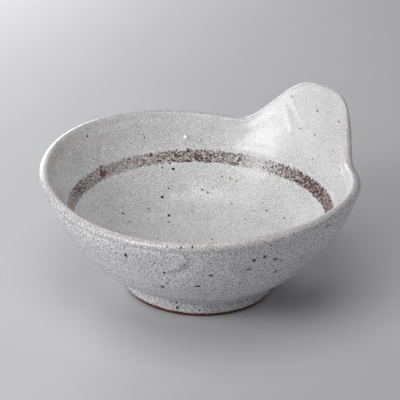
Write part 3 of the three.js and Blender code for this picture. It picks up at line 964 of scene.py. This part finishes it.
# %% Foot ring
RING_WIDTH = 5.2
RING_OUTSIDE = FOOT_RADIUS - CLAY_DEPTH
RING_INSIDE = RING_OUTSIDE - RING_WIDTH
RING_EDGE = 0.7
RING_TOP = FOOT_HEIGHT - 0.05
RING_FLARE = 2.15
RING_FLARE_FROM = UNDERSIDE - FOOT_FILLET
RING_TOP_SHIFT = 1.0
TOOL_MARKS = 0.05
FOOT_COLUMNS = 192
foot_angle = np.arange(FOOT_COLUMNS) * 2 * np.pi / FOOT_COLUMNS


def turned(outline, uneven):
    """Carries an outline (radius, height) round the axis, its radius moved by a small unevenness."""
    radius = outline[:, :1] + uneven
    height = outline[:, 1:] + 0 * radius
    return np.stack([AXIS_X + radius * np.cos(foot_angle), radius * np.sin(foot_angle), height], -1)


def between(start, end, steps):
    """Points on a straight line between two places (radius, height)."""
    return np.linspace(start, end, steps + 1)


def ring_outline():
    """The ring's outline, inner wall first: eased edges at the table and a flare up to the bowl."""
    inner_corner = (RING_INSIDE + RING_EDGE, RING_EDGE)
    outer_corner = (RING_OUTSIDE - RING_EDGE, RING_EDGE)
    flare_centre = (RING_OUTSIDE + RING_FLARE, RING_FLARE_FROM)
    top_outside, top_inside = RING_OUTSIDE + RING_TOP_SHIFT, RING_INSIDE + RING_TOP_SHIFT
    parts = [
        between((RING_INSIDE, RING_TOP), (RING_INSIDE, RING_EDGE), 8),
        round_part(inner_corner, RING_EDGE, -math.pi, -math.pi / 2, 6)[1:],
        between((inner_corner[0], 0), (outer_corner[0], 0), 6)[1:],
        round_part(outer_corner, RING_EDGE, -math.pi / 2, 0, 6)[1:],
        between((RING_OUTSIDE, RING_EDGE), (RING_OUTSIDE, RING_FLARE_FROM), 4)[1:],
        round_part(flare_centre, RING_FLARE, math.pi, 0.55 * math.pi, 5)[1:],
        between((top_outside, RING_TOP), (top_inside, RING_TOP), 1),
    ]
    return np.concatenate(parts)


outline = ring_outline()
off_outer_wall = outline[:, :1] < RING_OUTSIDE - 1
tool_marks = TOOL_MARKS * np.sin(outline[:, 1:] * 4 + 3 * foot_angle) * off_outer_wall
foot = add_piece("foot_ring_turned", turned(outline, tool_marks), looped(len(outline), FOOT_COLUMNS))
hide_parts("foot_ring")

# %% Glaze under the base
BASE_TOP = FOOT_HEIGHT - 0.15
BASE_RADIUS = RING_INSIDE - 0.4
BASE_EDGE = 0.3
BASE_FIRST_RING = 0.6
BASE_RIPPLE = 0.1
BASE_UNEVEN = 0.04
base_radii = np.append(np.linspace(BASE_RADIUS, 2 * BASE_FIRST_RING, 26), BASE_FIRST_RING)
ripple = BASE_RIPPLE * (1 + np.sin(base_radii * 2.1)) * eased(base_radii, 0, 4)
base_low = BASE_TOP - GLAZE_THICKNESS + ripple
base_low[0] = BASE_TOP - BASE_EDGE
base_top = between((BASE_FIRST_RING, BASE_TOP), (BASE_RADIUS, BASE_TOP), 1)
base_outline = np.concatenate([base_top, np.stack([base_radii, base_low], -1)])
base_grid = turned(base_outline, BASE_UNEVEN * np.sin(5 * foot_angle)[None, :])
base_poles = np.array([[AXIS_X, 0, BASE_TOP], [AXIS_X, 0, base_low[-1]]])
base_points = np.concatenate([base_grid.reshape(-1, 3), base_poles])
base = add_piece(
    "base_glaze_pooled",
    base_points,
    capped(len(base_outline), FOOT_COLUMNS),
    {"pepper": np.full(len(base_points), PEPPER_INSIDE)},
)
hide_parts("base_glaze")

# %% [markdown]
# ## Materials: nodes by name
# Every finish is built from noise in the object's own coordinates, so it stays put when the bowl is
# moved. A few small helpers keep the node trees readable: they add a node with its settings, grain of a
# given size in millimetres, a soft step, a sum or product, a blend of two colours, a stored value, and a
# bump, and one starts a material.

# %% Node helpers


def add_node(tree, kind, inputs, **settings):
    """Adds a node, sets its settings, and links or sets each named input."""
    made = tree.nodes.new(kind)
    for key, value in settings.items():
        setattr(made, key, value)
    for key, value in inputs.items():
        if isinstance(value, bpy.types.NodeSocket):
            tree.links.new(value, made.inputs[key])
        else:
            made.inputs[key].default_value = value
    return made


def grit(tree, place, size_mm, detail=2.0):
    """Noise whose grains are about size_mm across, as a value around one half."""
    inputs = {"Vector": place, "Scale": 1 / (size_mm * MM), "Detail": detail, "Roughness": 0.55}
    return add_node(tree, "ShaderNodeTexNoise", inputs).outputs["Fac"]


def step_up(tree, value, low, high):
    """0 below low, 1 above high, eased between them."""
    inputs = {"Value": value, "From Min": low, "From Max": high}
    made = add_node(tree, "ShaderNodeMapRange", inputs, interpolation_type="SMOOTHSTEP")
    return made.outputs["Result"]


def maths(tree, operation, first, second):
    """One sum, product or the like of two values."""
    return add_node(tree, "ShaderNodeMath", {0: first, 1: second}, operation=operation).outputs[0]


def blend_colour(tree, share, first, second):
    """The first colour where share is 0, the second where it is 1."""
    made = add_node(tree, "ShaderNodeMix", {0: share, 6: first, 7: second}, data_type="RGBA")
    return made.outputs[2]


def lay_on(tree, ground, cover, amount, laid):
    """The ground with a colour laid on it, as far as the product of a cover and an amount."""
    return blend_colour(tree, maths(tree, "MULTIPLY", cover, amount), ground, laid)


def value_of(tree, name):
    """A value stored on the piece's points."""
    return add_node(tree, "ShaderNodeAttribute", {}, attribute_name=name).outputs["Fac"]


def colour(red, green, blue):
    """A colour written as 0 to 255 screen values, as the linear numbers that nodes hold."""
    screen = np.array([red, green, blue]) / 255
    linear = np.where(screen <= 0.04045, screen / 12.92, ((screen + 0.055) / 1.055) ** 2.4)
    return (*linear.tolist(), 1.0)


def new_material(name, roughness):
    """An empty shader material: its tree, its shader and the object's own coordinates."""
    material = bpy.data.materials.new(name)
    material.use_nodes = True
    tree = material.node_tree
    shader = tree.nodes["Principled BSDF"]
    shader.inputs["Roughness"].default_value = roughness
    place = tree.nodes.new("ShaderNodeTexCoord").outputs["Object"]
    return material, tree, shader, place


def give_colour(tree, shader, ground):
    """Links a colour to the shader."""
    tree.links.new(ground, shader.inputs["Base Color"])


def give_bump(tree, shader, height, strength, high_mm):
    """Links a bump of a height in mm to the shader."""
    inputs = {"Height": height, "Strength": strength, "Distance": high_mm * MM}
    tree.links.new(add_node(tree, "ShaderNodeBump", inputs).outputs["Normal"], shader.inputs["Normal"])


print("a screen grey of 128 is", round(colour(128, 128, 128)[0], 3), "in linear light")

# %% [markdown]
# ## The glaze
# The glaze is a milky grey white, full of fine bubbles and grains, so close up it looks peppered, more
# outside than inside. Fewer grains are laid on the inside of the tab, a painted highlight where the shine
# falls there. It is thin on the crest of the lip, where the warm clay shines through. The colour is a pale
# ground with grains of two sizes, slow clouds, and a tan that grows with the stored thinness, which along
# the crease is partly painted shade. A low bump of the same grain breaks up the shine, as an eggshell
# surface does.

# %% Glaze colour and bump
GLAZE_PALE = colour(240, 239, 240)
GLAZE_CLOUD = colour(229, 228, 229)
GLAZE_GRAIN = colour(132, 130, 131)
GLAZE_FLECK = colour(253, 252, 252)
GLAZE_TAN = colour(196, 178, 160)


def glaze_ground(tree, place):
    """Pale ground with clouds, then fine grains and flecks, each laid on where its own noise is high."""
    clouds = step_up(tree, grit(tree, place, 9, 3), 0.35, 0.7)
    ground = blend_colour(tree, clouds, GLAZE_PALE, GLAZE_CLOUD)
    coarse = step_up(tree, grit(tree, place, 1.3, 3), 0.48, 0.66)
    ground = lay_on(tree, ground, coarse, 0.08, GLAZE_GRAIN)
    fine = step_up(tree, grit(tree, place, 0.52, 1), 0.45, 0.59)
    ground = lay_on(tree, ground, fine, value_of(tree, "pepper"), GLAZE_GRAIN)
    fleck = step_up(tree, grit(tree, place, 0.6, 1), 0.5, 0.66)
    return lay_on(tree, ground, fleck, 0.7, GLAZE_FLECK)


def glaze_bump(tree, place, shader):
    """Eggshell surface: grain of two sizes as a bump a few hundredths of a millimetre high."""
    height = maths(tree, "ADD", grit(tree, place, 1.6, 3), grit(tree, place, 0.8, 1))
    give_bump(tree, shader, height, 0.4, 0.06)


def make_glaze():
    """The glaze, turning tan and patchy where it is thin, and along the crease as partly painted shade."""
    material, tree, shader, place = new_material("milky_glaze", 0.25)
    shader.inputs["Specular IOR Level"].default_value = 0.62
    ground = glaze_ground(tree, place)
    blotches = step_up(tree, grit(tree, place, 4, 4), 0.3, 0.68)
    patchy = maths(tree, "MULTIPLY", value_of(tree, "thin"), blotches)
    ground = lay_on(tree, ground, patchy, 0.6, GLAZE_TAN)
    give_colour(tree, shader, ground)
    glaze_bump(tree, place, shader)
    return material


def make_bead_painted_highlight():
    """The same glaze where it melted smooth, so it shines more, in a white that is partly a painted
    highlight.
    """
    material, tree, shader, place = new_material("melted_glaze_painted_highlight", 0.15)
    shader.inputs["Specular IOR Level"].default_value = 1.0
    # The bead's white is partly a painted highlight.
    white = blend_colour(tree, step_up(tree, grit(tree, place, 0.5, 2), 0.6, 0.9), GLAZE_FLECK, GLAZE_CLOUD)
    give_colour(tree, shader, white)
    return material


milky_glaze = make_glaze()
glaze.data.materials.append(milky_glaze)
base.data.materials.append(milky_glaze)
bead.data.materials.append(make_bead_painted_highlight())
print("glaze nodes:", len(milky_glaze.node_tree.nodes))

# %% [markdown]
# ## Iron on the glaze
# Iron fires to black where it lies thick and to red-brown where the kiln's air reached it. On the
# stripe three layers go over the glaze: a brown wash, clumps of rust and black grains, each cut by its
# own noise against the values that the strip carries. The specks use the same black and rust, and a few
# of them burnt out to a pale orange.

# %% Stripe and speck materials
IRON_WASH = colour(132, 102, 84)
IRON_BLACK = colour(36, 28, 28)
IRON_RUST = colour(98, 38, 31)
IRON_ORANGE = colour(190, 138, 106)


def over_limit(tree, noise, amount, softness):
    """Where noise passes one minus the amount: a soft cut whose cover grows with the amount."""
    limit = maths(tree, "SUBTRACT", 1.0, amount)
    return step_up(tree, maths(tree, "SUBTRACT", noise, limit), -softness, softness)


def make_stripe():
    """Wash, rust clumps and black grains over the glaze, thinned out by the mark's ragged edge."""
    material, tree, shader, place = new_material("brushed_iron", 0.38)
    ground = glaze_ground(tree, place)
    mark = value_of(tree, "mark")
    torn = maths(tree, "MULTIPLY", maths(tree, "SUBTRACT", grit(tree, place, 1.4, 3), 0.5), 2.4)
    ragged = step_up(tree, maths(tree, "ADD", mark, torn), 0.35, 0.7)
    patchy = step_up(tree, grit(tree, place, 0.8, 3), 0.32, 0.62)
    wash = maths(tree, "MULTIPLY", value_of(tree, "wash"), patchy)
    ground = lay_on(tree, ground, wash, ragged, IRON_WASH)
    clumps = over_limit(tree, grit(tree, place, 1.5, 4), value_of(tree, "rust"), 0.05)
    ground = lay_on(tree, ground, maths(tree, "MULTIPLY", clumps, ragged), 0.9, IRON_RUST)
    grains = over_limit(tree, grit(tree, place, 0.82, 2), value_of(tree, "grain"), 0.018)
    ground = lay_on(tree, ground, maths(tree, "MULTIPLY", grains, ragged), 0.95, IRON_BLACK)
    give_colour(tree, shader, ground)
    glaze_bump(tree, place, shader)
    return material


def make_specks():
    """Dark heart fading to the glaze: black, rust or orange by the value each speck carries."""
    material, tree, shader, place = new_material("melted_iron", 0.3)
    iron = blend_colour(tree, step_up(tree, value_of(tree, "rust"), 0.1, 0.9), IRON_BLACK, IRON_RUST)
    iron = blend_colour(tree, step_up(tree, value_of(tree, "rust"), 0.9, 1.6), iron, IRON_ORANGE)
    wavy = maths(tree, "MULTIPLY", maths(tree, "SUBTRACT", grit(tree, place, 0.4, 2), 0.5), 0.5)
    shown = step_up(tree, maths(tree, "ADD", value_of(tree, "heart"), wavy), 0.08, 0.42)
    ground = blend_colour(tree, shown, glaze_ground(tree, place), iron)
    give_colour(tree, shader, ground)
    glaze_bump(tree, place, shader)
    return material


stripe.data.materials.append(make_stripe())
speck_piece.data.materials.append(make_specks())
print("stripe and speck materials made")

# %% [markdown]
# ## Clay
# The body is a coarse red-brown stoneware. It shows only on the standing edge of the foot, where it is
# rubbed and a little darker in the pores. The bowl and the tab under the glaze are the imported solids
# themselves, and they get the paler, dry face that the same clay has where no flame reached it.

# %% Bare clay and covered clay


def make_clay(name, pale, dark, sand):
    """Coarse clay: a mottled ground, sand grains, and a dry bumpy face."""
    material, tree, shader, place = new_material(name, 0.85)
    ground = blend_colour(tree, step_up(tree, grit(tree, place, 3, 4), 0.35, 0.65), pale, dark)
    grains = step_up(tree, grit(tree, place, 0.5, 2), 0.6, 0.7)
    give_colour(tree, shader, lay_on(tree, ground, grains, 0.6, sand))
    give_bump(tree, shader, grit(tree, place, 0.7, 4), 0.6, 0.15)
    return material


foot.data.materials.append(
    make_clay("bare_red_clay", colour(112, 65, 46), colour(82, 46, 33), colour(146, 100, 75))
)
covered_clay = make_clay("covered_clay", colour(170, 128, 104), colour(146, 104, 82), colour(190, 152, 128))
for node_name in ("bowl_body", "tab_handle"):
    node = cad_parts[node_name]
    node.data.materials.clear()
    node.data.materials.append(covered_clay)
print("clay on", foot.name, "and the covered solids")

# %% [markdown]
# ## Floor and light
# The bowl stands on a plain pale floor, as on a photographer's table. A soft key light in front to the
# left puts the shine on the foot of the tab and shades the right side of the wall, a low one behind on
# the same side draws the bright line along the lip, and a wide one overhead fills the inside. Two weak
# ones, low on the left and wide on the right, and a dim even surround take the black out of the shadow.

# %% Floor
FLOOR_REACH = 3.0
FLOOR_SIDES = 96


def make_floor():
    """A wide round floor, its matt grey broken by the faintest clouding."""
    material, tree, shader, place = new_material("matt_floor", 0.6)
    clouds = grit(tree, place, 40, 3)
    ground = blend_colour(tree, clouds, colour(209, 209, 212), colour(204, 204, 207))
    give_colour(tree, shader, ground)
    shader.inputs["Specular IOR Level"].default_value = 0.2
    turn = np.arange(FLOOR_SIDES) * 2 * np.pi / FLOOR_SIDES
    ring = np.stack([np.cos(turn), np.sin(turn), 0 * turn], -1) * FLOOR_REACH
    mesh = bpy.data.meshes.new("floor")
    mesh.from_pydata(ring, [], [list(range(FLOOR_SIDES))])
    floor = bpy.data.objects.new("floor", mesh)
    bpy.context.scene.collection.objects.link(floor)
    mesh.materials.append(material)
    return floor


floor = make_floor()
print("floor reaches", FLOOR_REACH, "m")

# %% Light
TARGET = LOOKED_AT * MM


def soft_light(name, left, back, height, size, watts):
    """A soft light of a width and a height, so far left of, behind and above the bowl, all in metres."""
    place = TARGET - left * SIDEWAYS + back * INWARDS + height * UPRIGHT
    lamp = bpy.data.lights.new(name, "AREA")
    lamp.shape = "RECTANGLE"
    lamp.size, lamp.size_y = size
    lamp.energy = watts
    away = unit(place - TARGET)
    return stand(name, lamp, unit(np.cross(UPRIGHT, away)), away, place)


key = soft_light("key_light", left=0.53, back=-0.445, height=0.385, size=(0.45, 0.3), watts=3.15)
rear = soft_light("rear_light", left=0.25, back=0.52, height=0.17, size=(0.35, 0.25), watts=1.65)
above = soft_light("top_light", left=0.05, back=-0.12, height=0.8, size=(0.6, 0.6), watts=2.25)
low_left = soft_light("low_light", left=0.7, back=-0.15, height=0.14, size=(0.4, 0.2), watts=0.5)
fill = soft_light("fill_light", left=-0.62, back=-0.2, height=0.34, size=(0.8, 0.5), watts=0.6)
world = bpy.data.worlds.new("surround")
bpy.context.scene.world = world
world.use_nodes = True
world.node_tree.nodes["Background"].inputs["Color"].default_value = (0.95, 0.95, 1.0, 1.0)
world.node_tree.nodes["Background"].inputs["Strength"].default_value = 0.03
bpy.context.scene.view_settings.view_transform = "Standard"
print("lights:", [light.name for light in (key, rear, above, low_left, fill)])
